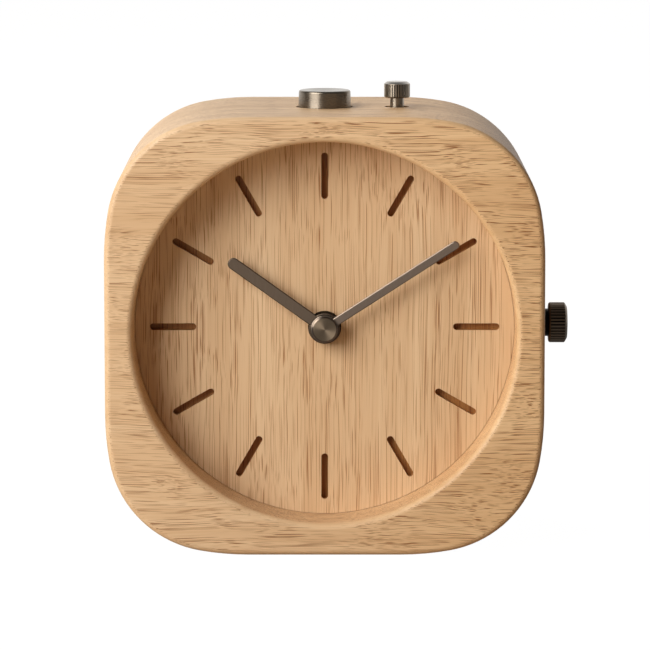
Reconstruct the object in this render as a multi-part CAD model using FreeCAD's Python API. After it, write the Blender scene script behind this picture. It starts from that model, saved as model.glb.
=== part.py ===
"""Oak desk clock: a block of oak with a recessed oak dial, two hands, a battery movement with its
gear train, a push button and a small pull knob on top, and a knurled setting knob on the right.

Frame, in millimetres: +X to the right of someone facing the dial, +Y from the dial to the back,
+Z up. The origin is under the middle of the block, on the face that it stands on.
"""
import FreeCAD, Part
import math
import os
from FreeCAD import Vector

# ---- Oak block ----
CASE_WIDTH = 99.7
CASE_HEIGHT = 100.0
CASE_DEPTH = 60.0
CORNER_RADIUS = 25.2        # main arc of each corner
LEAD_RADIUS = 64.0          # gentler arc that leads into it from each flat
LEAD_TURN = 10.0            # degrees that each lead-in arc turns
EDGE_ROUND = 1.4
CUT = 1.0                   # how far a cutter runs past what it cuts
FRONT = -CASE_DEPTH / 2
BACK = CASE_DEPTH / 2
AXIS_Z = CASE_HEIGHT / 2 + 0.8      # height of the dial's centre and of the hands' arbor

# ---- Front recess and dial ----
RECESS_RADIUS = 43.5
RECESS_DEPTH = 13.2
RECESS_ROUND = 1.45
DIAL_RADIUS = RECESS_RADIUS - 0.1
DIAL_THICKNESS = 4.0
DIAL_FACE = FRONT + RECESS_DEPTH
WEB_FRONT = DIAL_FACE + DIAL_THICKNESS
WEB_BACK = WEB_FRONT + 6.8
MARK_COUNT = 12
MARK_WIDTH = 1.56
MARK_INNER = 30.2           # centre of each mark's inner round end
MARK_OUTER = 39.25
MARK_DEPTH = 2.0

# ---- Rear pocket and back cover ----
POCKET_RADIUS = 37.5
REBATE_RADIUS = 43.4
COVER_THICKNESS = 3.0
COVER_INNER = BACK - COVER_THICKNESS
COVER_CLEARANCE = 0.2
BACK_SCREW_CIRCLE = 40.4
BACK_SCREW_COUNT = 4
BACK_SCREW_HOLE = 11.0      # below the cover
COVER_CHAMFER = 0.4

# ---- Hands: clock angles in degrees from twelve, and depths in front of the dial ----
MINUTE_ANGLE = 57.1
MINUTE_REACH = 35.4         # centre of the round tip
MINUTE_WIDTH = 1.9
HOUR_ANGLE = 305.6
HOUR_REACH = 25.55
HOUR_WIDTH = 2.67
BLADE = 0.45
BLADE_BEVEL = {"across": 0.2, "deep": 0.115}
HOUR_HUB = (3.5, 3.81)       # radius at the front and at the back
HOUR_FRONT = DIAL_FACE - 3.3
HOUR_BACK = DIAL_FACE - 1.0
MINUTE_HUB = (3.15, 3.25)
MINUTE_FRONT = DIAL_FACE - 4.3
MINUTE_BACK = DIAL_FACE - 3.5
CAP_RADIUS = 2.925
CAP_FRONT = DIAL_FACE - 5.2
CAP_BEVEL = {"across": 0.32, "deep": 0.22}

# ---- Arbors on the hands' axis ----
ARBOR_RADIUS = 1.5
ARBOR_TIP_RADIUS = 1.1
ARBOR_TIP = CAP_FRONT + 0.4
ARBOR_SHOULDER = 1.2
REAR_ARBOR_RADIUS = 1.0
RUNNING_FIT = 0.06          # radial clearance of every shaft in its hole
PIPE_RADIUS = 2.5
BUSH_RADIUS = 3.05
BUSH_FRONT = DIAL_FACE - 0.4

# ---- Screws: radius of shank and head, height of head, and length below the head ----
TRAY_SCREW = {"shank": 1.05, "head": 2.0, "rise": 1.3, "length": 7.5}
LID_SCREW = {"shank": 0.8, "head": 1.6, "rise": 1.0, "length": 5.7}
BACK_SCREW = {"shank": 1.05, "head": 2.0, "rise": 1.2, "length": 12.2}
SCREW_SEAT_RADIUS = 2.2
SCREW_SEAT_DEPTH = 1.3
CROSS_REACH = 0.6           # half length of a cross slot, as a share of the head's radius
CROSS_WIDTH = 0.34          # width of a cross slot, as a share of the head's height
CROSS_DEPTH = 0.5           # as a share of the head's height
HEAD_ROUND = 0.4            # rounding of a pan head's edge, as a share of its height

# ---- Movement case ----
MOVEMENT_SIDE = 56.0
MOVEMENT_CORNER = 8.0
WALL = 1.2
TRAY_FRONT = WEB_BACK
TRAY_INNER = TRAY_FRONT + WALL
LID_FRONT = 7.3
LID_BACK = LID_FRONT + WALL
BOSS_RADIUS = 2.2
BOSS_X = 24.0
BOSS_Z = 17.0
TRAY_SCREW_X = 21.5
TRAY_SCREW_Z = 22.5
PIVOT_RADIUS = 0.4
SHAFT_RADIUS = 0.6
PIVOT_DEPTH = 0.9

# ---- Gears: teeth, module, and the depths that each spans ----
ADDENDUM = 0.8
DEDENDUM = 1.12
BACKLASH = 0.16             # share of each tooth's width that is left out
PRESSURE_ANGLE = 20.0
CANNON = {"teeth": 10, "module": 0.45, "front": -3.2, "back": -2.0}
MOTION = {"teeth": 30, "module": 0.45, "front": -3.1, "back": -2.1}
MOTION_PINION = {"teeth": 8, "module": 0.45, "front": -4.6, "back": -3.1}
HOUR = {"teeth": 32, "module": 0.45, "front": -4.5, "back": -3.5}
CENTRE = {"teeth": 60, "module": 0.3, "front": -0.6, "back": 0.4}
THIRD_PINION = {"teeth": 8, "module": 0.3, "front": -0.9, "back": 1.0}
THIRD = {"teeth": 64, "module": 0.25, "front": 1.0, "back": 1.8}
SECOND_PINION = {"teeth": 8, "module": 0.25, "front": 0.7, "back": 2.6}
SECOND = {"teeth": 60, "module": 0.2, "front": 2.6, "back": 3.4}
MOTOR_PINION = {"teeth": 8, "module": 0.2, "front": 2.3, "back": 3.7}
FACE_TEETH = 35             # on the back of the motion wheel
STEM_PINION_TEETH = 10
FACE_MODULE = 0.3
FACE_PITCH_RADIUS = FACE_TEETH * FACE_MODULE / 2
FACE_TOOTH_LENGTH = 1.4
FACE_TOOTH_FOOT = 0.24      # half width at the wheel
FACE_TOOTH_TIP = 0.1        # half width at the tip
STEM_PITCH_RADIUS = STEM_PINION_TEETH * FACE_MODULE / 2
STEM_PINION_WIDTH = 0.9
STEM_TIP_LENGTH = 0.9
STEM_SHOULDER = 1.0
THIRD_DIRECTION = 150.0     # degrees from +X towards +Z, from the centre arbor
SECOND_DIRECTION = 120.0
MOTOR_DIRECTION = 60.0
POST_RADIUS = 0.8
POST_END = -1.0

# ---- Side knob, on the right near mid-height, at mid-depth ----
SIDE_Z = 49.6
SIDE_Y = 0.0
SIDE_KNOB_RADIUS = 4.68
SIDE_KNOB_START = CASE_WIDTH / 2 + 2.25
SIDE_KNOB_LENGTH = 4.5
SIDE_NECK_RADIUS = 3.22
SIDE_NECK_START = CASE_WIDTH / 2 + 0.12 - SIDE_KNOB_START
SIDE_KNOB_BORE = 2.8
SIDE_KNOB_PROFILE = [       # from the inner face of the knob, and its radius there
    (0.0, SIDE_NECK_RADIUS), (0.02, SIDE_KNOB_RADIUS - 0.42), (0.1, SIDE_KNOB_RADIUS - 0.2),
    (0.24, SIDE_KNOB_RADIUS - 0.06), (0.42, SIDE_KNOB_RADIUS), (3.66, SIDE_KNOB_RADIUS),
    (3.88, SIDE_KNOB_RADIUS - 0.18), (4.34, SIDE_KNOB_RADIUS - 1.02), (4.45, SIDE_KNOB_RADIUS - 2.6)]
SIDE_KNURLS = 38
SIDE_KNURL_DEPTH = 0.26
SIDE_KNURL_START = 0.4
SIDE_KNURL_LENGTH = 3.36
KNURL_SHARE = 0.62          # share of the pitch that each groove takes up
SIDE_STEM_RADIUS = 1.0
SIDE_STEM_TIP_RADIUS = 0.8
SIDE_BUSH_RADIUS = 2.5
SIDE_BUSH_INNER = 37.3
CLIP_THICKNESS = 0.6
STEM_CLIP_RADIUS = 2.3
STEM_CLIP_SLOT = 0.7        # half width

# ---- Push button, on top in the middle ----
BUTTON_RADIUS = 6.08
BUTTON_TOP_RADIUS = 6.0
BUTTON_RISE = 3.9
BUTTON_SKIRT = 4.8          # below the top of the block
BUTTON_TRAVEL = 2.0
BUTTON_BORE = 6.6
BUTTON_ROUND = 0.55
BUTTON_DISH = 0.35
BUTTON_DISH_RADIUS = 4.9
BUTTON_CUP_RADIUS = 5.0
BUTTON_CEILING = CASE_HEIGHT + 1.0
BUTTON_STEM_RADIUS = 2.0
BUTTON_STEM_END = 82.2
BUTTON_BUSH_TOP = 93.0
BUTTON_BUSH_BOTTOM = 87.4
BUTTON_BUSH_RADIUS = 4.05
BUTTON_FLANGE_RADIUS = 6.45
BUTTON_FLANGE_THICKNESS = 1.0
BUTTON_CLIP_RADIUS = 3.6
BUTTON_CLIP_SLOT = 1.2      # half width
BUTTON_CLIP_GAP = 0.15
SPRING_RADIUS = 3.6
SPRING_WIRE = 0.28
SPRING_TURNS = 5
SPRING_GAP = 0.03
PUSH_LEAF = {"foot": 4.0, "post": 1.5, "depth": 2.0, "thickness": 0.3, "gap": 0.2}

# ---- Alarm knob, on top to the right ----
ALARM_X = 16.75
ALARM_KNOB_RADIUS = 3.0
ALARM_KNOB_BOTTOM = CASE_HEIGHT + 2.1
ALARM_KNOB_HEIGHT = 3.85
ALARM_KNOB_BORE = 2.55
ALARM_KNOB_PROFILE = [      # from the underside of the knob, and its radius there
    (0.0, ALARM_KNOB_RADIUS - 0.3), (0.3, ALARM_KNOB_RADIUS), (3.23, ALARM_KNOB_RADIUS),
    (3.71, ALARM_KNOB_RADIUS - 0.68), (3.81, ALARM_KNOB_RADIUS - 1.8)]
ALARM_KNURLS = 32
ALARM_KNURL_DEPTH = 0.24
ALARM_KNURL_START = 0.2
ALARM_KNURL_LENGTH = 2.93
ALARM_STEM_RADIUS = 1.62
ALARM_STEM_END = 81.2
ALARM_GROOVE_RADIUS = 1.0
ALARM_GROOVE = (81.75, 83.05)
ALARM_BORE = 2.9
ALARM_BUSH_TOP = CASE_HEIGHT - 1.2
ALARM_BUSH_BOTTOM = 83.6
SLIDER = {"x": (9.9, 18.6), "y": (-3.0, 3.0), "z": (81.8, 83.0)}
GUIDE_X = 11.5
GUIDE_RADIUS = 0.8
GUIDE_TOP = 84.5
ALARM_LEAF = {"x": (12.8, 14.8), "y": (-1.5, 1.5), "rise": 0.75}

# ---- Battery, its tray in the back cover, its door and its contacts ----
CELL_RADIUS = 7.1
CELL_START = -24.0
CELL_END = 25.2
CELL_NUB_RADIUS = 2.75
CELL_NUB_END = 26.3
CELL_Y = 20.6
CELL_Z = AXIS_Z - 15.5
CELL_BAY = {"x": 26.8, "z": 7.6, "y": 13.2}      # half width, half height, floor
DOOR_SEAT = {"x": 29.0, "z": 9.5, "y": BACK - 1.8}
DOOR_GAP = 0.2
DOOR_CORNER = 0.8
DOOR_NOTCH = {"radius": 5.0, "rise": 1.5, "depth": 0.9}
DOOR_RIB = {"count": 5, "pitch": 4.0, "width": 0.8, "z": (-5.0, 3.0), "depth": 0.5}
STRIP = 0.4
STRIP_WIDTH = 2.0
STRIP_Y = 9.0
PLATE_X = 26.3
PLATE_DROP = 5.0
LEG_DROP = 0.4
SLOT_GAP = 0.1
NOSE_RADII = (3.0, 1.5)

# ---- Buzzer and electronics ----
BUZZER_Z = AXIS_Z + 17.0
BUZZER_RADIUS = 12.3
BUZZER_FRONT = 21.4
BUZZER_RING = 1.4
BUZZER_GAP = 0.1
BUZZER_LEDGE = 1.2
BUZZER_PLATE = 0.6
CERAMIC_SHARE = 0.7         # of the plate's radius
CERAMIC_THICKNESS = 0.3
PIN_X = 5.0
PIN_SPREAD = 3.0
PIN_RADIUS = 0.5
SOUND_HOLES = 6
SOUND_CIRCLE = 4.5
SOUND_RADIUS = 1.0
BOARD = {"x": (3.0, 21.5), "z": (AXIS_Z + 3.0, AXIS_Z + 25.0), "y": (6.3, LID_FRONT)}
MOTOR_RADIUS = 5.0
MOTOR_FRONT = 4.0
MOTOR_SHAFT_DEPTH = 1.0
COIL_RADIUS = 1.8
COIL_START = 6.5            # from the motor's axis
COIL_LENGTH = 16.0
COIL_FORWARD = 0.3
CHEEK_THICKNESS = 0.8
CHEEK_RISE = 0.2
CHIP = {"x": (8.0, 13.0), "z": (AXIS_Z + 5.0, AXIS_Z + 10.0), "rise": 1.0}
CRYSTAL = {"x": (13.5, 19.5), "z": AXIS_Z + 12.5, "radius": 1.0, "gap": 0.05}
BOARD_TABS = ((4.0, AXIS_Z + 4.0), (19.0, AXIS_Z + 7.0))     # lower left corners of the tabs on it
TAB_GAP = 0.2


# ---- Basic solids ----
def cyl_x(radius, x0, x1, y=0.0, z=0.0):
    return Part.makeCylinder(radius, x1 - x0, Vector(x0, y, z), Vector(1, 0, 0))


def cyl_y(radius, y0, y1, x=0.0, z=AXIS_Z):
    return Part.makeCylinder(radius, y1 - y0, Vector(x, y0, z), Vector(0, 1, 0))


def cyl_z(radius, z0, z1, x=0.0, y=0.0):
    return Part.makeCylinder(radius, z1 - z0, Vector(x, y, z0), Vector(0, 0, 1))


def block(xs, ys, zs):
    size = [pair[1] - pair[0] for pair in (xs, ys, zs)]
    return Part.makeBox(size[0], size[1], size[2], Vector(xs[0], ys[0], zs[0]))


def turned(points, centre, axis):
    """Solid of revolution from (distance along the axis, radius) points, closed along the axis."""
    if axis.x:
        place = [Vector(along, centre.y + radius, centre.z) for along, radius in points]
    elif axis.y:
        place = [Vector(centre.x + radius, along, centre.z) for along, radius in points]
    else:
        place = [Vector(centre.x + radius, centre.y, along) for along, radius in points]
    face = Part.Face(Part.makePolygon(place + [place[0]]))
    return face.revolve(centre, axis, 360)


def fused(first, *others):
    return first.fuse(list(others)).removeSplitter()


def around_axis(shape, clock_angle):
    """Turn a shape clockwise about the hands' axis, as seen from the front."""
    shape = shape.copy()
    shape.rotate(Vector(0, 0, AXIS_Z), Vector(0, 1, 0), clock_angle)
    return shape


def at_plane(shape, y):
    """Edges that lie wholly in the plane at depth y."""
    return [e for e in shape.Edges if abs(e.BoundBox.YMin - y) < 1e-4 and abs(e.BoundBox.YMax - y) < 1e-4]


# ---- Oak block and dial ----
def case_outline(y):
    """The block's outline: four flats joined by corners of three tangent arcs each."""
    turns = [(LEAD_RADIUS, LEAD_TURN), (CORNER_RADIUS, 90 - 2 * LEAD_TURN), (LEAD_RADIUS, LEAD_TURN)]
    lead = math.radians(LEAD_TURN)
    corner = CORNER_RADIUS * (math.cos(lead) - math.sin(lead))
    corner += LEAD_RADIUS * (math.sin(lead) + 1 - math.cos(lead))
    here = Vector(-CASE_WIDTH / 2 + corner, y, 0)
    heading = 0.0
    edges = []
    for flat in (CASE_WIDTH, CASE_HEIGHT, CASE_WIDTH, CASE_HEIGHT):
        ahead = here + Vector(math.cos(heading), 0, math.sin(heading)) * (flat - 2 * corner)
        edges.append(Part.LineSegment(here, ahead).toShape())
        here = ahead
        for radius, turn in turns:
            turn = math.radians(turn)
            centre = here + Vector(-math.sin(heading), 0, math.cos(heading)) * radius
            middle, end = [centre + Vector(math.sin(a), 0, -math.cos(a)) * radius
                           for a in (heading + turn / 2, heading + turn)]
            edges.append(Part.Arc(here, middle, end).toShape())
            here = end
            heading += turn
    return Part.Wire(edges)


def back_screw_places():
    for i in range(BACK_SCREW_COUNT):
        angle = math.radians(45 + 360 / BACK_SCREW_COUNT * i)
        yield BACK_SCREW_CIRCLE * math.cos(angle), AXIS_Z + BACK_SCREW_CIRCLE * math.sin(angle)


def corner_places(dx, dz):
    return [(sx * dx, AXIS_Z + sz * dz) for sx in (-1, 1) for sz in (-1, 1)]


def case_body():
    solid = Part.Face(case_outline(FRONT)).extrude(Vector(0, CASE_DEPTH, 0))
    solid = solid.makeFillet(EDGE_ROUND, at_plane(solid, FRONT) + at_plane(solid, BACK))
    solid = solid.cut(cyl_y(RECESS_RADIUS, FRONT - CUT, WEB_FRONT))
    lip = [e for e in at_plane(solid, FRONT) if isinstance(e.Curve, Part.Circle)
           and abs(e.Curve.Radius - RECESS_RADIUS) < 1e-4]
    solid = solid.makeFillet(RECESS_ROUND, lip)
    bores = [
        cyl_y(POCKET_RADIUS, WEB_BACK, BACK + CUT),
        cyl_y(REBATE_RADIUS, COVER_INNER, BACK + CUT),
        cyl_y(BUSH_RADIUS, WEB_FRONT - CUT, WEB_BACK + CUT),
        cyl_x(SIDE_BUSH_RADIUS, SIDE_BUSH_INNER - 2 * CUT, CASE_WIDTH / 2 + CUT, SIDE_Y, SIDE_Z),
        cyl_z(BUTTON_BORE, BUTTON_BUSH_TOP - CUT, CASE_HEIGHT + CUT),
        cyl_z(BUTTON_BUSH_RADIUS, BUTTON_BUSH_BOTTOM - 2 * CUT, BUTTON_BUSH_TOP),
        cyl_z(ALARM_BORE, ALARM_BUSH_BOTTOM - 2 * CUT, CASE_HEIGHT + CUT, ALARM_X),
    ]
    bores += [cyl_y(BACK_SCREW["shank"], COVER_INNER - BACK_SCREW_HOLE, BACK, x, z)
              for x, z in back_screw_places()]
    bores += [cyl_y(TRAY_SCREW["shank"], TRAY_INNER - TRAY_SCREW["length"] - 0.1, WEB_BACK + CUT, x, z)
              for x, z in corner_places(TRAY_SCREW_X, TRAY_SCREW_Z)]
    return solid.cut(bores)


def hour_mark():
    """Cutter for the mark at twelve: a slot with round ends."""
    deep = DIAL_FACE + MARK_DEPTH
    ends = [cyl_y(MARK_WIDTH / 2, DIAL_FACE - CUT, deep, 0, AXIS_Z + r) for r in (MARK_INNER, MARK_OUTER)]
    middle = block((-MARK_WIDTH / 2, MARK_WIDTH / 2), (DIAL_FACE - CUT, deep),
                   (AXIS_Z + MARK_INNER, AXIS_Z + MARK_OUTER))
    return fused(middle, *ends)


def dial():
    disc = cyl_y(DIAL_RADIUS, DIAL_FACE, WEB_FRONT)
    mark = hour_mark()
    cutters = [around_axis(mark, 360 / MARK_COUNT * i) for i in range(MARK_COUNT)]
    return disc.cut(cutters + [cyl_y(BUSH_RADIUS, DIAL_FACE - CUT, WEB_FRONT + CUT)])


# ---- Hands ----
def hand(angle, reach, width, hub, front, back, bore):
    """Flat blade with a round tip on a turned hub that widens a little towards the dial."""
    half = width / 2
    blade = fused(block((-half, half), (front, front + BLADE), (AXIS_Z, AXIS_Z + reach)),
                  cyl_y(half, front, front + BLADE, 0, AXIS_Z + reach),
                  cyl_y(hub[0], front, front + BLADE))
    blade = blade.makeChamfer(BLADE_BEVEL["deep"], BLADE_BEVEL["across"], at_plane(blade, front))
    root = Vector(0, front + BLADE, AXIS_Z)
    solid = fused(blade, Part.makeCone(*hub, back - root.y, root, Vector(0, 1, 0)))
    return around_axis(solid.cut(cyl_y(bore, front - CUT, back + CUT)), angle)


def minute_hand():
    return hand(MINUTE_ANGLE, MINUTE_REACH, MINUTE_WIDTH, MINUTE_HUB,
                MINUTE_FRONT, MINUTE_BACK, ARBOR_TIP_RADIUS)


def hour_hand():
    return hand(HOUR_ANGLE, HOUR_REACH, HOUR_WIDTH, HOUR_HUB, HOUR_FRONT, HOUR_BACK, PIPE_RADIUS)


def hand_cap():
    rim = CAP_RADIUS - CAP_BEVEL["across"]
    profile = [(CAP_FRONT, 0), (CAP_FRONT, rim), (CAP_FRONT + CAP_BEVEL["deep"], CAP_RADIUS),
               (MINUTE_FRONT, CAP_RADIUS), (MINUTE_FRONT, ARBOR_TIP_RADIUS),
               (ARBOR_TIP, ARBOR_TIP_RADIUS), (ARBOR_TIP, 0)]
    return turned(profile, Vector(0, 0, AXIS_Z), Vector(0, 1, 0))


# ---- Gears ----
def pitch_radius(gear):
    return gear["teeth"] * gear["module"] / 2


def involute(angle):
    return math.tan(angle) - angle


def tooth_half_angle(teeth, pitch, radius):
    """Half the angle that a tooth fills at a radius, in radians."""
    pressure = math.radians(PRESSURE_ANGLE)
    base = pitch * math.cos(pressure)
    here = math.acos(base / max(radius, base))
    return (1 - BACKLASH) * math.pi / (2 * teeth) + involute(pressure) - involute(here)


def gear_outline(teeth, module, phase, place):
    """Closed outline of straight-sided teeth, one of them centred at phase degrees."""
    pitch = teeth * module / 2
    root, tip = pitch - DEDENDUM * module, pitch + ADDENDUM * module
    steps = [(root, -1), (pitch, -1), (tip, -1), (tip, 1), (pitch, 1), (root, 1)]
    points = []
    for i in range(teeth):
        middle = math.radians(phase + 360 / teeth * i)
        for radius, side in steps:
            angle = middle + side * tooth_half_angle(teeth, pitch, radius)
            points.append(place(radius * math.cos(angle), radius * math.sin(angle)))
    return Part.makePolygon(points + [points[0]])


def spur(gear, x, z, phase):
    wire = gear_outline(gear["teeth"], gear["module"], phase,
                        lambda u, w: Vector(x + u, gear["front"], z + w))
    return Part.Face(wire).extrude(Vector(0, gear["back"] - gear["front"], 0))


def meshed_phase(driver, driver_phase, driven, direction):
    """Phase that puts a gap of the driven gear on the driver's tooth, along a direction in degrees."""
    pitch = 360 / driver["teeth"]
    behind = (direction - driver_phase) % pitch
    gap = direction + 180 + behind * driver["teeth"] / driven["teeth"]
    return gap + 180 / driven["teeth"]


def step_from(x, z, distance, direction):
    angle = math.radians(direction)
    return x + distance * math.cos(angle), z + distance * math.sin(angle)


# Places of the arbors, and the phase of every gear, in mesh at rest.
MOTION_DISTANCE = pitch_radius(CANNON) + pitch_radius(MOTION)
MOTION_DIRECTION = math.degrees(math.asin((SIDE_Z - AXIS_Z) / MOTION_DISTANCE))
MOTION_X, MOTION_Z = step_from(0, AXIS_Z, MOTION_DISTANCE, MOTION_DIRECTION)
THIRD_X, THIRD_Z = step_from(0, AXIS_Z, pitch_radius(CENTRE) + pitch_radius(THIRD_PINION), THIRD_DIRECTION)
SECOND_X, SECOND_Z = step_from(THIRD_X, THIRD_Z, pitch_radius(THIRD) + pitch_radius(SECOND_PINION),
                               SECOND_DIRECTION)
MOTOR_X, MOTOR_Z = step_from(SECOND_X, SECOND_Z, pitch_radius(SECOND) + pitch_radius(MOTOR_PINION),
                             MOTOR_DIRECTION)
CANNON_PHASE = MOTION_DIRECTION
MOTION_PHASE = meshed_phase(CANNON, CANNON_PHASE, MOTION, MOTION_DIRECTION)
MOTION_PINION_PHASE = MOTION_DIRECTION + 180
HOUR_PHASE = meshed_phase(MOTION_PINION, MOTION_PINION_PHASE, HOUR, MOTION_DIRECTION + 180)
CENTRE_PHASE = THIRD_DIRECTION
THIRD_PINION_PHASE = meshed_phase(CENTRE, CENTRE_PHASE, THIRD_PINION, THIRD_DIRECTION)
THIRD_PHASE = SECOND_DIRECTION
SECOND_PINION_PHASE = meshed_phase(THIRD, THIRD_PHASE, SECOND_PINION, SECOND_DIRECTION)
SECOND_PHASE = MOTOR_DIRECTION
MOTOR_PHASE = meshed_phase(SECOND, SECOND_PHASE, MOTOR_PINION, MOTOR_DIRECTION)
STEM_PINION_X = MOTION_X + FACE_PITCH_RADIUS


def centre_arbor():
    """Arbor of the minute hand, with the cannon pinion of the motion work on it."""
    return fused(cyl_y(ARBOR_TIP_RADIUS, ARBOR_TIP, MINUTE_BACK),
                 cyl_y(ARBOR_RADIUS, MINUTE_BACK, ARBOR_SHOULDER),
                 cyl_y(REAR_ARBOR_RADIUS, ARBOR_SHOULDER, LID_FRONT + PIVOT_DEPTH - 0.1),
                 spur(CANNON, 0, AXIS_Z, CANNON_PHASE))


def centre_wheel():
    bore = cyl_y(ARBOR_RADIUS, CENTRE["front"] - CUT, CENTRE["back"] + CUT)
    return spur(CENTRE, 0, AXIS_Z, CENTRE_PHASE).cut(bore)


def hour_wheel():
    """Wheel and pipe that carry the hour hand around the minute arbor."""
    pipe_front = HOUR_FRONT - 0.1
    wheel = fused(spur(HOUR, 0, AXIS_Z, HOUR_PHASE), cyl_y(PIPE_RADIUS, pipe_front, HOUR["back"]))
    return wheel.cut(cyl_y(ARBOR_RADIUS + RUNNING_FIT, pipe_front - CUT, HOUR["back"] + CUT))


def face_tooth(index):
    """One radial tooth on the back of the motion wheel, for the side knob's pinion."""
    pitch_plane = SIDE_Y - STEM_PITCH_RADIUS
    bottom, top = MOTION["back"] - 0.05, pitch_plane + ADDENDUM * FACE_MODULE
    inner = MOTION_X + FACE_PITCH_RADIUS - FACE_TOOTH_LENGTH / 2
    corners = [(bottom, -FACE_TOOTH_FOOT), (top, -FACE_TOOTH_TIP),
               (top, FACE_TOOTH_TIP), (bottom, FACE_TOOTH_FOOT)]
    points = [Vector(inner, y, MOTION_Z + z) for y, z in corners]
    tooth = Part.Face(Part.makePolygon(points + [points[0]])).extrude(Vector(FACE_TOOTH_LENGTH, 0, 0))
    tooth.rotate(Vector(MOTION_X, 0, MOTION_Z), Vector(0, 1, 0), 360 / FACE_TEETH * (index + 0.5))
    return tooth


def motion_wheel():
    wheel = spur(MOTION, MOTION_X, MOTION_Z, MOTION_PHASE)
    wheel = wheel.fuse([face_tooth(i) for i in range(FACE_TEETH)])
    wheel = fused(wheel, spur(MOTION_PINION, MOTION_X, MOTION_Z, MOTION_PINION_PHASE))
    return wheel.cut(cyl_y(POST_RADIUS + RUNNING_FIT, TRAY_INNER, MOTION["back"] + CUT, MOTION_X, MOTION_Z))


def train_arbor(x, z):
    """Plain arbor between the movement's two plates, with a thin pivot at each end."""
    shaft = cyl_y(SHAFT_RADIUS, TRAY_INNER + 0.1, LID_FRONT - 0.1, x, z)
    pivot = cyl_y(PIVOT_RADIUS, TRAY_INNER - PIVOT_DEPTH + 0.1, LID_FRONT + PIVOT_DEPTH - 0.1, x, z)
    return shaft.fuse(pivot)


def third_wheel():
    return fused(train_arbor(THIRD_X, THIRD_Z), spur(THIRD_PINION, THIRD_X, THIRD_Z, THIRD_PINION_PHASE),
                 spur(THIRD, THIRD_X, THIRD_Z, THIRD_PHASE))


def second_wheel():
    return fused(train_arbor(SECOND_X, SECOND_Z),
                 spur(SECOND_PINION, SECOND_X, SECOND_Z, SECOND_PINION_PHASE),
                 spur(SECOND, SECOND_X, SECOND_Z, SECOND_PHASE))


def motor_pinion():
    shaft = cyl_y(PIVOT_RADIUS, MOTOR_PINION["back"], MOTOR_FRONT + MOTOR_SHAFT_DEPTH, MOTOR_X, MOTOR_Z)
    return fused(spur(MOTOR_PINION, MOTOR_X, MOTOR_Z, MOTOR_PHASE), shaft)


# ---- Movement case and what is fixed in it ----
def rounded_plate(half, corner, y0, y1):
    plate = block((-half, half), (y0, y1), (AXIS_Z - half, AXIS_Z + half))
    edges = [e for e in plate.Edges if e.BoundBox.YLength > (y1 - y0) / 2]
    return plate.makeFillet(corner, edges)


def movement_tray():
    """Front half of the movement's case: plate, walls, screw bosses, wheel post and slider guide."""
    half = MOVEMENT_SIDE / 2
    shell = rounded_plate(half, MOVEMENT_CORNER, TRAY_FRONT, LID_FRONT)
    shell = shell.cut(rounded_plate(half - WALL, MOVEMENT_CORNER - WALL, TRAY_INNER, LID_FRONT + CUT))
    posts = [cyl_y(BOSS_RADIUS, TRAY_INNER, LID_FRONT, x, z) for x, z in corner_places(BOSS_X, BOSS_Z)]
    posts.append(cyl_y(POST_RADIUS, TRAY_INNER, POST_END, MOTION_X, MOTION_Z))
    posts.append(cyl_z(GUIDE_RADIUS, AXIS_Z + half, GUIDE_TOP, GUIDE_X))
    holes = [cyl_y(LID_SCREW["shank"], LID_BACK - LID_SCREW["length"] - 0.3, LID_FRONT + CUT, x, z)
             for x, z in corner_places(BOSS_X, BOSS_Z)]
    holes += [cyl_y(TRAY_SCREW["shank"], TRAY_FRONT - CUT, TRAY_INNER + CUT, x, z)
              for x, z in corner_places(TRAY_SCREW_X, TRAY_SCREW_Z)]
    holes += [cyl_y(PIVOT_RADIUS + RUNNING_FIT, TRAY_INNER - PIVOT_DEPTH, TRAY_INNER + CUT, x, z)
              for x, z in ((THIRD_X, THIRD_Z), (SECOND_X, SECOND_Z))]
    holes.append(cyl_y(BUSH_RADIUS, TRAY_FRONT - CUT, TRAY_INNER + CUT))
    holes.append(cyl_x(SIDE_STEM_RADIUS + RUNNING_FIT, half - 2 * WALL, half + CUT, SIDE_Y, SIDE_Z))
    return fused(shell, *posts).cut(holes)


def movement_lid():
    """Rear plate of the movement's case."""
    plate = rounded_plate(MOVEMENT_SIDE / 2, MOVEMENT_CORNER, LID_FRONT, LID_BACK)
    holes = [cyl_y(LID_SCREW["shank"], LID_FRONT - CUT, LID_BACK + CUT, x, z)
             for x, z in corner_places(BOSS_X, BOSS_Z)]
    holes += [cyl_y(PIVOT_RADIUS + RUNNING_FIT, LID_FRONT - CUT, LID_FRONT + PIVOT_DEPTH, x, z)
              for x, z in ((THIRD_X, THIRD_Z), (SECOND_X, SECOND_Z))]
    holes.append(cyl_y(REAR_ARBOR_RADIUS + RUNNING_FIT, LID_FRONT - CUT, LID_FRONT + PIVOT_DEPTH))
    holes += [cyl_y(PIN_RADIUS + 0.1, LID_FRONT - CUT, LID_BACK + CUT, x, z) for x, z in buzzer_pin_places()]
    holes += [block((x - TAB_GAP, x + STRIP + TAB_GAP), (LID_FRONT - CUT, LID_BACK + CUT),
                    (z - TAB_GAP, z + STRIP_WIDTH + TAB_GAP)) for x, z in BOARD_TABS]
    return plate.cut(holes)


def pan_screw(screw, x, z, seat):
    """Pan-headed screw along Y, with its head behind the seat and a cross slot in the head."""
    head, top = screw["head"], seat + screw["rise"]
    pan = cyl_y(head, seat, top, x, z)
    pan = pan.makeFillet(HEAD_ROUND * screw["rise"], at_plane(pan, top))
    solid = fused(cyl_y(screw["shank"], seat - screw["length"], seat, x, z), pan)
    width, reach = CROSS_WIDTH * screw["rise"], CROSS_REACH * head
    deep = (top - CROSS_DEPTH * screw["rise"], top + CUT)
    return solid.cut([block((x - reach, x + reach), deep, (z - width / 2, z + width / 2)),
                      block((x - width / 2, x + width / 2), deep, (z - reach, z + reach))])


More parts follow.
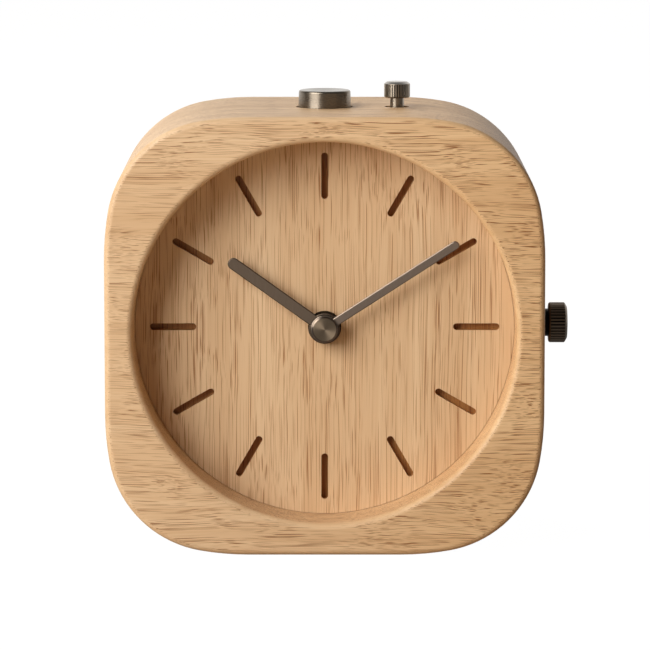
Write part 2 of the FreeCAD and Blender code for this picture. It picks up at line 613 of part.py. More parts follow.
def tray_screws():
    return [pan_screw(TRAY_SCREW, x, z, TRAY_INNER) for x, z in corner_places(TRAY_SCREW_X, TRAY_SCREW_Z)]


def lid_screws():
    return [pan_screw(LID_SCREW, x, z, LID_BACK) for x, z in corner_places(BOSS_X, BOSS_Z)]


def centre_bush():
    bush = cyl_y(BUSH_RADIUS, BUSH_FRONT, TRAY_INNER)
    return bush.cut(cyl_y(PIPE_RADIUS + RUNNING_FIT, BUSH_FRONT - CUT, TRAY_INNER + CUT))


def stepper_motor():
    can = cyl_y(MOTOR_RADIUS, MOTOR_FRONT, LID_FRONT, MOTOR_X, MOTOR_Z)
    deep = MOTOR_FRONT + MOTOR_SHAFT_DEPTH + 0.2
    return can.cut(cyl_y(PIVOT_RADIUS + RUNNING_FIT, MOTOR_FRONT - CUT, deep, MOTOR_X, MOTOR_Z))


def motor_coil():
    """Winding between two cheeks, lying beside the motor."""
    start, y = MOTOR_X + COIL_START, MOTOR_FRONT + COIL_FORWARD
    end = start + COIL_LENGTH
    cheek = COIL_RADIUS + CHEEK_RISE
    cheeks = [block((x, x + CHEEK_THICKNESS), (y - cheek, y + cheek), (MOTOR_Z - cheek, MOTOR_Z + cheek))
              for x in (start, end - CHEEK_THICKNESS)]
    return fused(cyl_x(COIL_RADIUS, start, end, y, MOTOR_Z), *cheeks)


def circuit_board():
    return block(BOARD["x"], BOARD["y"], BOARD["z"])


def control_chip():
    face = BOARD["y"][0]
    return block(CHIP["x"], (face - CHIP["rise"], face), CHIP["z"])


def quartz_crystal():
    y = BOARD["y"][0] - CRYSTAL["radius"] - CRYSTAL["gap"]
    return cyl_x(CRYSTAL["radius"], *CRYSTAL["x"], y, CRYSTAL["z"])


# ---- Side knob ----
def knurl_cutters(count, radius, depth, start, length):
    """Grooves with sloping sides around a knob that lies along +X from the origin."""
    half = math.pi * radius / count * KNURL_SHARE
    cutters = []
    for i in range(count):
        points = [Vector(start, radius - depth, 0), Vector(start, radius + 0.1, half),
                  Vector(start, radius + 0.1, -half)]
        groove = Part.Face(Part.makePolygon(points + [points[0]])).extrude(Vector(length, 0, 0))
        groove.rotate(Vector(0, 0, 0), Vector(1, 0, 0), 360 / count * i)
        cutters.append(groove)
    return cutters


def side_knob():
    """Knurled knob with a neck that flares into it, a chamfered rim and a faintly domed end."""
    profile = [(SIDE_NECK_START, SIDE_STEM_RADIUS), (SIDE_NECK_START, SIDE_NECK_RADIUS)]
    profile += SIDE_KNOB_PROFILE
    profile += [(SIDE_KNOB_LENGTH, 0), (SIDE_KNOB_BORE, 0), (SIDE_KNOB_BORE, SIDE_STEM_RADIUS)]
    knob = turned(profile, Vector(0, 0, 0), Vector(1, 0, 0))
    knob = knob.cut(knurl_cutters(SIDE_KNURLS, SIDE_KNOB_RADIUS, SIDE_KNURL_DEPTH,
                                  SIDE_KNURL_START, SIDE_KNURL_LENGTH))
    knob.translate(Vector(SIDE_KNOB_START, SIDE_Y, SIDE_Z))
    return knob


def side_stem():
    inner, step = STEM_PINION_X - STEM_TIP_LENGTH, STEM_PINION_X + STEM_SHOULDER
    return fused(cyl_x(SIDE_STEM_TIP_RADIUS, inner, step, SIDE_Y, SIDE_Z),
                 cyl_x(SIDE_STEM_RADIUS, step, SIDE_KNOB_START + SIDE_KNOB_BORE, SIDE_Y, SIDE_Z))


def side_bush():
    outer = CASE_WIDTH / 2 - 0.1
    bush = cyl_x(SIDE_BUSH_RADIUS, SIDE_BUSH_INNER, outer, SIDE_Y, SIDE_Z)
    bore = SIDE_STEM_RADIUS + RUNNING_FIT
    return bush.cut(cyl_x(bore, SIDE_BUSH_INNER - CUT, outer + CUT, SIDE_Y, SIDE_Z))


def stem_clip():
    end = SIDE_BUSH_INNER - 0.1
    start = end - CLIP_THICKNESS
    disc = cyl_x(STEM_CLIP_RADIUS, start, end, SIDE_Y, SIDE_Z)
    disc = disc.cut(block((start - CUT, end + CUT), (-STEM_CLIP_SLOT, STEM_CLIP_SLOT),
                          (SIDE_Z, SIDE_Z + STEM_CLIP_RADIUS + CUT)))
    return disc.cut(cyl_x(SIDE_STEM_RADIUS, start - CUT, end + CUT, SIDE_Y, SIDE_Z))


def stem_pinion():
    """Pinion on the stem's inner end; one tooth points to the motion wheel at rest."""
    start = STEM_PINION_X - STEM_PINION_WIDTH / 2
    wire = gear_outline(STEM_PINION_TEETH, FACE_MODULE, 180,
                        lambda u, w: Vector(start, SIDE_Y + u, SIDE_Z + w))
    pinion = Part.Face(wire).extrude(Vector(STEM_PINION_WIDTH, 0, 0))
    bore = cyl_x(SIDE_STEM_TIP_RADIUS, start - CUT, start + STEM_PINION_WIDTH + CUT, SIDE_Y, SIDE_Z)
    return pinion.cut(bore)


# ---- Push button ----
def arc_steps(centre_along, centre_radius, radius, start, end, count=6):
    """Points (along, radius) on a quarter round, angles in degrees from the radial direction."""
    for i in range(count + 1):
        angle = math.radians(start + (end - start) * i / count)
        yield (centre_along + radius * math.sin(angle), centre_radius + radius * math.cos(angle))


def button_cap():
    """Turned cup: slightly tapered wall, rounded rim and a shallow dish in the top."""
    top = CASE_HEIGHT + BUTTON_RISE
    skirt = CASE_HEIGHT - BUTTON_SKIRT
    rim = list(arc_steps(top - BUTTON_ROUND, BUTTON_TOP_RADIUS - BUTTON_ROUND, BUTTON_ROUND, 5, 90))
    dish_sphere = (BUTTON_DISH_RADIUS ** 2 + BUTTON_DISH ** 2) / (2 * BUTTON_DISH)
    dish = [(top - BUTTON_DISH + dish_sphere - math.sqrt(dish_sphere ** 2 - r ** 2), r)
            for r in [BUTTON_DISH_RADIUS * (1 - i / 6) for i in range(7)]]
    profile = [(skirt, BUTTON_CUP_RADIUS), (skirt, BUTTON_RADIUS), (CASE_HEIGHT, BUTTON_RADIUS)]
    profile += rim + dish + [(BUTTON_CEILING, 0), (BUTTON_CEILING, BUTTON_CUP_RADIUS)]
    return turned(profile, Vector(0, 0, 0), Vector(0, 0, 1))


def button_stem():
    return cyl_z(BUTTON_STEM_RADIUS, BUTTON_STEM_END, BUTTON_CEILING)


def button_bush():
    flange = BUTTON_BUSH_TOP - BUTTON_FLANGE_THICKNESS
    bush = fused(cyl_z(BUTTON_FLANGE_RADIUS, flange, BUTTON_BUSH_TOP),
                 cyl_z(BUTTON_BUSH_RADIUS, BUTTON_BUSH_BOTTOM, flange))
    bore = BUTTON_STEM_RADIUS + RUNNING_FIT
    return bush.cut(cyl_z(bore, BUTTON_BUSH_BOTTOM - CUT, BUTTON_BUSH_TOP + CUT))


def button_clip():
    top = BUTTON_BUSH_BOTTOM - BUTTON_CLIP_GAP
    bottom = top - CLIP_THICKNESS
    disc = cyl_z(BUTTON_CLIP_RADIUS, bottom, top)
    disc = disc.cut(block((-BUTTON_CLIP_SLOT, BUTTON_CLIP_SLOT), (0, BUTTON_CLIP_RADIUS + CUT),
                          (bottom - CUT, top + CUT)))
    return disc.cut(cyl_z(BUTTON_STEM_RADIUS, bottom - CUT, top + CUT))


def button_spring():
    """Round-wire spring between the bush and the cap's ceiling, each turn made of two tilted halves."""
    start = BUTTON_BUSH_TOP + SPRING_WIRE + SPRING_GAP
    height = BUTTON_CEILING - SPRING_WIRE - SPRING_GAP - start
    rise = height / (2 * SPRING_TURNS)
    here = Vector(SPRING_RADIUS, 0, start)
    halves = []
    for _ in range(2 * SPRING_TURNS):
        there = Vector(-here.x, 0, here.z + rise)
        disc = Part.Face(Part.Wire(Part.makeCircle(SPRING_WIRE, here, Vector(0, 1, 0))))
        centre = (here + there) * 0.5
        axis = (here - centre).cross(Vector(0, 1 if here.x > 0 else -1, 0))
        halves.append(disc.revolve(centre, axis, 180))
        here = there
    return halves[0].fuse(halves[1:])


def button_contact():
    """Leaf on top of the movement that the button's stem meets at the end of its travel."""
    base = AXIS_Z + MOVEMENT_SIDE / 2
    foot, post, depth = PUSH_LEAF["foot"], PUSH_LEAF["post"], PUSH_LEAF["depth"]
    step = base + PUSH_LEAF["thickness"]
    top = BUTTON_STEM_END - BUTTON_TRAVEL - PUSH_LEAF["gap"]
    return fused(block((-foot, foot), (-depth, depth), (base, step)),
                 block((-post, post), (-depth, depth), (step, top)))


# ---- Alarm knob ----
def alarm_knob():
    profile = [(0, ALARM_STEM_RADIUS)] + ALARM_KNOB_PROFILE
    profile += [(ALARM_KNOB_HEIGHT, 0), (ALARM_KNOB_BORE, 0), (ALARM_KNOB_BORE, ALARM_STEM_RADIUS)]
    knob = turned(profile, Vector(0, 0, 0), Vector(1, 0, 0))
    knob = knob.cut(knurl_cutters(ALARM_KNURLS, ALARM_KNOB_RADIUS, ALARM_KNURL_DEPTH,
                                  ALARM_KNURL_START, ALARM_KNURL_LENGTH))
    knob.rotate(Vector(0, 0, 0), Vector(0, 1, 0), -90)
    knob.translate(Vector(ALARM_X, 0, ALARM_KNOB_BOTTOM))
    return knob


def alarm_stem():
    low, high = ALARM_GROOVE
    return fused(cyl_z(ALARM_STEM_RADIUS, ALARM_STEM_END, low, ALARM_X),
                 cyl_z(ALARM_GROOVE_RADIUS, low, high, ALARM_X),
                 cyl_z(ALARM_STEM_RADIUS, high, ALARM_KNOB_BOTTOM + ALARM_KNOB_BORE, ALARM_X))


def alarm_bush():
    bush = cyl_z(ALARM_BORE, ALARM_BUSH_BOTTOM, ALARM_BUSH_TOP, ALARM_X)
    bore = ALARM_STEM_RADIUS + RUNNING_FIT
    return bush.cut(cyl_z(bore, ALARM_BUSH_BOTTOM - CUT, ALARM_BUSH_TOP + CUT, ALARM_X))


def alarm_slider():
    """Fork that sits in the stem's groove, rises and falls with it, and works the alarm contact."""
    x, y, z = SLIDER["x"], SLIDER["y"], SLIDER["z"]
    slot = ALARM_GROOVE_RADIUS + RUNNING_FIT
    cutters = [cyl_z(slot, z[0] - CUT, z[1] + CUT, ALARM_X),
               block((ALARM_X, x[1] + CUT), (-slot, slot), (z[0] - CUT, z[1] + CUT)),
               cyl_z(GUIDE_RADIUS + RUNNING_FIT, z[0] - CUT, z[1] + CUT, GUIDE_X)]
    return block(x, y, z).cut(cutters)


def alarm_contact():
    base = AXIS_Z + MOVEMENT_SIDE / 2
    return block(ALARM_LEAF["x"], ALARM_LEAF["y"], (base, base + ALARM_LEAF["rise"]))


# ---- Back cover, battery and buzzer ----
def bay_block(grow, y0, y1, half_x=CELL_BAY["x"], half_z=CELL_BAY["z"]):
    return block((-half_x - grow, half_x + grow), (y0, y1), (CELL_Z - half_z - grow, CELL_Z + half_z + grow))


def back_cover():
    """Round plate with the battery bay and the buzzer's ring moulded on its inside."""
    plate = cyl_y(REBATE_RADIUS - COVER_CLEARANCE, COVER_INNER, BACK)
    plate = plate.makeChamfer(COVER_CHAMFER, at_plane(plate, BACK))
    seat = BUZZER_RADIUS + BUZZER_GAP
    ring = cyl_y(seat + BUZZER_RING, BUZZER_FRONT, COVER_INNER, 0, BUZZER_Z)
    body = fused(plate, ring, bay_block(WALL, CELL_BAY["y"] - WALL, COVER_INNER))
    cutters = [bay_block(0, CELL_BAY["y"], BACK + CUT),
               bay_block(0, DOOR_SEAT["y"], BACK + CUT, DOOR_SEAT["x"], DOOR_SEAT["z"]),
               cyl_y(seat, BUZZER_FRONT - CUT, BUZZER_FRONT + BUZZER_PLATE, 0, BUZZER_Z),
               cyl_y(BUZZER_RADIUS - BUZZER_LEDGE, BUZZER_FRONT, COVER_INNER, 0, BUZZER_Z)]
    for side in (-1, 1):
        xs = sorted((side * (PLATE_X - SLOT_GAP), side * (PLATE_X + STRIP + SLOT_GAP)))
        cutters.append(block(xs, (CELL_BAY["y"] - 2 * WALL, CELL_BAY["y"] + CUT), strip_leg_z(2 * SLOT_GAP)))
    sound = [(0, BUZZER_Z)]
    sound += [step_from(0, BUZZER_Z, SOUND_CIRCLE, 360 / SOUND_HOLES * i) for i in range(SOUND_HOLES)]
    cutters += [cyl_y(SOUND_RADIUS, COVER_INNER - CUT, BACK + CUT, x, z) for x, z in sound]
    for x, z in back_screw_places():
        cutters += [cyl_y(BACK_SCREW["shank"], COVER_INNER - CUT, BACK + CUT, x, z),
                    cyl_y(SCREW_SEAT_RADIUS, BACK - SCREW_SEAT_DEPTH, BACK + CUT, x, z)]
    return body.cut(cutters)


def back_screws():
    return [pan_screw(BACK_SCREW, x, z, BACK - SCREW_SEAT_DEPTH) for x, z in back_screw_places()]


def battery_door():
    """Flush door over the battery, with a finger notch at the middle of its upper edge."""
    half_x, half_z = DOOR_SEAT["x"] - DOOR_GAP, DOOR_SEAT["z"] - DOOR_GAP
    face = BACK - 0.1
    plate = bay_block(0, DOOR_SEAT["y"], face, half_x, half_z)
    upright = [e for e in plate.Edges if e.BoundBox.YLength > 1]
    plate = plate.makeFillet(DOOR_CORNER, upright)
    low, high = DOOR_RIB["z"]
    first = -(DOOR_RIB["pitch"] * (DOOR_RIB["count"] - 1) + DOOR_RIB["width"]) / 2
    starts = [first + DOOR_RIB["pitch"] * i for i in range(DOOR_RIB["count"])]
    cutters = [block((x, x + DOOR_RIB["width"]), (face - DOOR_RIB["depth"], BACK + CUT),
                     (CELL_Z + low, CELL_Z + high)) for x in starts]
    cutters.append(cyl_y(DOOR_NOTCH["radius"], face - DOOR_NOTCH["depth"], BACK + CUT, 0,
                         CELL_Z + half_z + DOOR_NOTCH["rise"]))
    return plate.cut(cutters)


def battery():
    return fused(cyl_x(CELL_RADIUS, CELL_START, CELL_END, CELL_Y, CELL_Z),
                 cyl_x(CELL_NUB_RADIUS, CELL_END, CELL_NUB_END, CELL_Y, CELL_Z))


def strip_leg_z(grow=0.0):
    low = CELL_Z + CELL_BAY["z"] - STRIP_WIDTH - LEG_DROP
    return low - grow, low + STRIP_WIDTH + grow


def contact_strip(side, tab):
    """End plate in the bay, a leg through its floor, and a strip round to a tab on the board."""
    plate_x = sorted((side * PLATE_X, side * (PLATE_X + STRIP)))
    rise_x = sorted((side * (PLATE_X + STRIP), side * (PLATE_X + STRIP - STRIP_WIDTH)))
    strip_y = (STRIP_Y, STRIP_Y + STRIP)
    tab_x, tab_z = tab
    run_x = sorted((tab_x, side * (PLATE_X + STRIP)))
    if side < 0:
        run_x[1] = tab_x + STRIP
    top = CELL_Z + CELL_BAY["z"] - LEG_DROP / 2
    pieces = [block(plate_x, (CELL_BAY["y"], COVER_INNER - 0.5), (CELL_Z - PLATE_DROP, top)),
              block(plate_x, (STRIP_Y, CELL_BAY["y"]), strip_leg_z()),
              block(rise_x, strip_y, (strip_leg_z()[0], tab_z + STRIP_WIDTH)),
              block(run_x, strip_y, (tab_z, tab_z + STRIP_WIDTH)),
              block((tab_x, tab_x + STRIP), (LID_FRONT, STRIP_Y + STRIP), (tab_z, tab_z + STRIP_WIDTH))]
    return fused(*pieces)


def contact_plus():
    return contact_strip(1, BOARD_TABS[1])


def contact_minus():
    place = Vector(-PLATE_X, CELL_Y, CELL_Z)
    nose = Part.makeCone(*NOSE_RADII, PLATE_X + CELL_START, place, Vector(1, 0, 0))
    return fused(contact_strip(-1, BOARD_TABS[0]), nose)


def buzzer():
    """Brass plate with the ceramic disc on it."""
    ceramic = BUZZER_RADIUS * CERAMIC_SHARE
    return fused(cyl_y(BUZZER_RADIUS, BUZZER_FRONT, BUZZER_FRONT + BUZZER_PLATE, 0, BUZZER_Z),
                 cyl_y(ceramic, BUZZER_FRONT - CERAMIC_THICKNESS, BUZZER_FRONT, 0, BUZZER_Z))


def buzzer_pin_places():
    return (PIN_X, BUZZER_Z - PIN_SPREAD), (PIN_X, BUZZER_Z + PIN_SPREAD)


def buzzer_pins():
    back = BUZZER_FRONT - CERAMIC_THICKNESS
    return [cyl_y(PIN_RADIUS, LID_FRONT, back, x, z) for x, z in buzzer_pin_places()]


PIECES = [case_body, dial, minute_hand, hour_hand, hand_cap, centre_arbor, centre_wheel, hour_wheel,
          motion_wheel, third_wheel, second_wheel, motor_pinion, movement_tray, movement_lid,
          tray_screws, lid_screws, centre_bush, stepper_motor, motor_coil, circuit_board, control_chip,
          quartz_crystal, side_knob, side_stem, side_bush, stem_clip, stem_pinion, button_cap,
          button_stem, button_bush, button_clip, button_spring, button_contact, alarm_knob,
          alarm_stem, alarm_bush, alarm_slider, alarm_contact, back_cover, back_screws, battery_door,
          battery, contact_plus, contact_minus, buzzer, buzzer_pins]

os.makedirs("parts", exist_ok=True)
for piece in PIECES:
    made = piece()
    if isinstance(made, list):
        made = Part.makeCompound(made)
    made.exportStep("parts/" + piece.__name__ + ".step")
    solids = made.Solids
    print(f"{piece.__name__:16s} solids {len(solids)} valid {made.isValid()} volume {made.Volume:.2f}")
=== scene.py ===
import bpy
import math
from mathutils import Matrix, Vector


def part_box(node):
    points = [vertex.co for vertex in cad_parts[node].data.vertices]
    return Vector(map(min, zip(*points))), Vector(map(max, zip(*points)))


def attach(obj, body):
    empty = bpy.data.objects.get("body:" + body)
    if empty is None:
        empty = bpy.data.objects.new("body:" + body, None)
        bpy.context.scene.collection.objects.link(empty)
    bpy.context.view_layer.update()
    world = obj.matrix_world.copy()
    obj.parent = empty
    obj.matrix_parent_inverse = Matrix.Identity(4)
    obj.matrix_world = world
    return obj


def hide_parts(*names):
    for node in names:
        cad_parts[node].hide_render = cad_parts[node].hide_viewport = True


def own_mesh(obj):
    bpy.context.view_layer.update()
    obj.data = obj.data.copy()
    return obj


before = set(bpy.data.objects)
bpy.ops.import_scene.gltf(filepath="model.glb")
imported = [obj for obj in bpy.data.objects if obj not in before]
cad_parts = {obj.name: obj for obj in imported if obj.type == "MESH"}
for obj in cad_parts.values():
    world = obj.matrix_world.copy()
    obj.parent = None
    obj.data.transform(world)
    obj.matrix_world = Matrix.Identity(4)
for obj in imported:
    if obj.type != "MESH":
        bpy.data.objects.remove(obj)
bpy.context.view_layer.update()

# ---- Camera ----
# A long lens just under a metre from the dial, looking slightly down, so that the block's
# top shows as a thin strip above its front.
MM = 0.001
CAMERA_PLACE = Vector((0.074, -950.43, 176.98)) * MM
CAMERA_DIP = 7.673          # degrees below level
CAMERA_LENS = 227.70        # millimetres
CAMERA_SENSOR = 36.0        # millimetres
CAMERA_REACH = 50.0         # metres
camera_data = bpy.data.cameras.new("camera")
camera_data.lens = CAMERA_LENS
camera_data.sensor_width = CAMERA_SENSOR
camera_data.clip_end = CAMERA_REACH
camera = bpy.data.objects.new("camera", camera_data)
camera.location = CAMERA_PLACE
camera.rotation_euler = (math.radians(90 - CAMERA_DIP), 0, 0)
bpy.context.scene.collection.objects.link(camera)
bpy.context.scene.camera = camera
bpy.context.scene.view_settings.view_transform = "Standard"


# ---- Studio floor, backdrop and lamps ----
# A white sweep that runs back without an edge. A large soft box stands on the left, in front of
# the dial and above it, and another behind the clock lights its top; the room and a faint lamp
# on the right fill the shadows.
def put(tree, kind, sockets=None, **settings):
    """Add a shader node, set its settings, and give each socket a value or a link."""
    made = tree.nodes.new("ShaderNode" + kind)
    for name, value in settings.items():
        setattr(made, name, value)
    for name, value in (sockets or {}).items():
        if isinstance(value, bpy.types.NodeSocket):
            tree.links.new(value, made.inputs[name])
        else:
            made.inputs[name].default_value = value
    return made


def calc(tree, operation, *terms):
    """Result of a Math node on one to three terms."""
    return put(tree, "Math", dict(enumerate(terms)), operation=operation).outputs[0]


def spread(tree, value, low, high, to_low=0.0, to_high=1.0):
    """Value brought from one range to another, with a soft start and end."""
    sockets = {"Value": value, "From Min": low, "From Max": high, "To Min": to_low, "To Max": to_high}
    return put(tree, "MapRange", sockets, interpolation_type="SMOOTHSTEP").outputs[0]


def reading(tree, source, axis):
    """One axis of the place, normal or direction that is being shaded."""
    return put(tree, "SeparateXYZ", {0: put(tree, "TexCoord").outputs[source]}).outputs[axis]


def rgb(red, green, blue):
    """Linear colour, with alpha, of a colour given as it shows on a screen, 0 to 255."""
    shown = [channel / 255 for channel in (red, green, blue)]
    return [c / 12.92 if c < 0.04045 else ((c + 0.055) / 1.055) ** 2.4 for c in shown] + [1.0]


WHITE = (1, 1, 1, 1)
FLOOR_SIDE = 16.0
FLOOR_TONE = rgb(186, 165, 140)            # the light that it throws back on the clock
FLOOR_WHITE = 0.86          # share of the floor's look that is plain white to the camera
FLOOR_DIM = 0.2             # how bright metal shows the floor before the clock
FLOOR_GLOW = 1.16           # and the floor behind it
FLOOR_STEP = (0.1, 0.5)     # metres behind the clock between which it turns from dim to bright
bpy.ops.object.select_all(action="DESELECT")
bpy.ops.mesh.primitive_plane_add(size=FLOOR_SIDE)
floor = bpy.context.object
floor.name = "floor"
floor_paper = bpy.data.materials.new("floor_paper")
floor_paper.use_nodes = True
tree = floor_paper.node_tree
tree.nodes.clear()
paper = put(tree, "BsdfDiffuse", {"Color": FLOOR_TONE})
path = put(tree, "LightPath")
strength = spread(tree, calc(tree, "MAXIMUM", reading(tree, "Object", "Y"), path.outputs["Is Camera Ray"]),
                  *FLOOR_STEP, FLOOR_DIM, FLOOR_GLOW)
glow = put(tree, "Emission", {"Color": WHITE, "Strength": strength})
plain = calc(tree, "MULTIPLY", path.outputs["Is Camera Ray"], FLOOR_WHITE)
plain = calc(tree, "MAXIMUM", plain, path.outputs["Is Glossy Ray"])
both = put(tree, "MixShader", {0: plain, 1: paper.outputs[0], 2: glow.outputs[0]})
put(tree, "OutputMaterial", {"Surface": both.outputs[0]})
floor.data.materials.append(floor_paper)

# Metal shows the sweep bright behind the clock, dim in front of it and faint overhead.
AMBIENT = 0.04
ROOM_TONE = rgb(255, 186, 122)
SWEEP_TONE = rgb(255, 252, 248)
SWEEP_FRONT = 0.10
SWEEP_OVERHEAD = 0.12
BACKWARD = (0.2, 0.85)      # how far a direction leans back, between which the sweep brightens
UPWARD = (0.5, 1.0)         # and how far up
world = bpy.data.worlds.new("studio")
bpy.context.scene.world = world
world.use_nodes = True
tree = world.node_tree
tree.nodes.clear()
path = put(tree, "LightPath")
behind = spread(tree, reading(tree, "Generated", "Y"), *BACKWARD, SWEEP_FRONT, 1.0)
above = spread(tree, reading(tree, "Generated", "Z"), *UPWARD, 0.0, SWEEP_OVERHEAD)
mirrored = calc(tree, "MAXIMUM", behind, above)
seen = put(tree, "Background", {"Color": WHITE, "Strength": 1.0})
room = put(tree, "Background", {"Color": ROOM_TONE, "Strength": AMBIENT})
sweep = put(tree, "Background", {"Color": SWEEP_TONE, "Strength": mirrored})
lit = put(tree, "MixShader", {0: path.outputs["Is Glossy Ray"], 1: room.outputs[0], 2: sweep.outputs[0]})
sight = calc(tree, "MAXIMUM", path.outputs["Is Camera Ray"], path.outputs["Is Transmission Ray"])
backdrop = put(tree, "MixShader", {0: sight, 1: lit.outputs[0], 2: seen.outputs[0]})
put(tree, "OutputWorld", {"Surface": backdrop.outputs[0]})

CLOCK_MIDDLE = Vector((0, 0, 0.05))


def soft_box(name, place, side, watts, colour, mirrored=True):
    """Square area lamp that faces the middle of the clock; its image in metal can be left out."""
    lamp_data = bpy.data.lights.new(name, "AREA")
    lamp_data.shape = "SQUARE"
    lamp_data.size = side
    lamp_data.energy = watts
    lamp_data.color = colour
    lamp = bpy.data.objects.new(name, lamp_data)
    lamp.location = place
    lamp.visible_glossy = mirrored
    lamp.rotation_euler = (CLOCK_MIDDLE - lamp.location).to_track_quat("-Z", "Y").to_euler()
    bpy.context.scene.collection.objects.link(lamp)


soft_box("key_lamp", place=(-0.52, -0.50, 0.38), side=0.60, watts=7.4, colour=(1.0, 0.985, 0.96))
soft_box("fill_lamp", place=(0.5, -0.9, 0.25), side=1.0, watts=0.3, colour=(1.0, 0.80, 0.60))
soft_box("top_lamp", place=(-0.65, 0.75, 0.95), side=0.7, watts=8.7, colour=(0.96, 0.99, 1.05),
         mirrored=False)


# ---- Oak block ----
# A block of solid oak, milled from both sides and sanded, with softly rounded edges. Its grain
# runs from left to right; the finish is a thin matt oil that leaves the pores open.
def clear_material(name):
    """New material, its node tree, and its one shader."""
    material = bpy.data.materials.new(name)
    material.use_nodes = True
    tree = material.node_tree
    return material, tree, tree.nodes["Principled BSDF"]


def dress(material, *nodes):
    """Give every slot of some CAD pieces one material."""
    for node in nodes:
        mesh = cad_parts[node].data
        mesh.materials.clear()
        mesh.materials.append(material)


def mixed(tree, share, first, second, mode="MIX"):
    """Colour between two colours, or one worked on the other."""
    return put(tree, "Mix", {0: share, 6: first, 7: second}, data_type="RGBA", blend_type=mode).outputs[2]


def vector(tree, operation, *terms):
    """Vector result of a Vector Math node."""
    return put(tree, "VectorMath", dict(enumerate(terms)), operation=operation).outputs[0]


def length(tree, offset):
    """Length of a vector."""
    return put(tree, "VectorMath", {0: offset}, operation="LENGTH").outputs["Value"]


def noise(tree, place, scale, detail=2.0, roughness=0.5, distortion=0.0):
    """Noise node with this many cycles in each unit of the place."""
    sockets = {"Vector": place, "Scale": scale, "Detail": detail, "Roughness": roughness,
               "Distortion": distortion}
    return put(tree, "TexNoise", sockets)


def relief(tree, shader, height, strength, deep):
    """Show a height from nought to one as bumps of this many millimetres."""
    bump = put(tree, "Bump", {"Height": height, "Strength": strength, "Distance": deep * MM})
    tree.links.new(bump.outputs[0], shader.inputs["Normal"])


def grained(tree, place, along, across, shift):
    """Place in cycles instead of millimetres: along the grain, and across it."""
    shifts = (shift, shift * 0.7, shift * 1.3)
    return put(tree, "Mapping", {"Vector": place, "Scale": (along, across, across),
                                 "Location": shifts}).outputs[0]


def streaks(tree, place, along, across, shift, detail=2.0, roughness=0.5):
    """Noise drawn out along the grain."""
    return noise(tree, grained(tree, place, along, across, shift), 1.0, detail, roughness).outputs["Fac"]


def vessels(tree, place, along, across, shift, share, size):
    """Open pores: slim spindles along the grain, in a share of the cells that they are set out in."""
    cells = put(tree, "TexVoronoi", {"Vector": grained(tree, place, along, across, shift), "Scale": 1.0})
    lot = put(tree, "SeparateColor", {0: cells.outputs["Color"]})
    width = calc(tree, "MULTIPLY_ADD", lot.outputs[1], size * 0.5, size * 0.7)
    shape = spread(tree, calc(tree, "SUBTRACT", width, cells.outputs["Distance"]), 0.0, size * 0.3)
    chosen = calc(tree, "LESS_THAN", lot.outputs[0], share)
    depth = calc(tree, "MULTIPLY_ADD", lot.outputs[2], 0.6, 0.4)
    return calc(tree, "MULTIPLY", calc(tree, "MULTIPLY", shape, chosen), depth)


EDGE_CLOSED = 0.8           # share of the pores that sanding closes on the rounded edges
OILED = (0.44, 0.56)        # roughness of the oiled wood, which follows its fibre
QUIET_END = (-46 * MM, -5 * MM)            # X, over which the grain grows to its full strength
PORE_SHADE = 0.95           # how much of the pores' own colour shows in them
SMALL_PORE = 0.42           # width, as a share of a cell
LARGE_PORE = 0.35
LARGE_SHARE = 0.3           # large pores for each small one


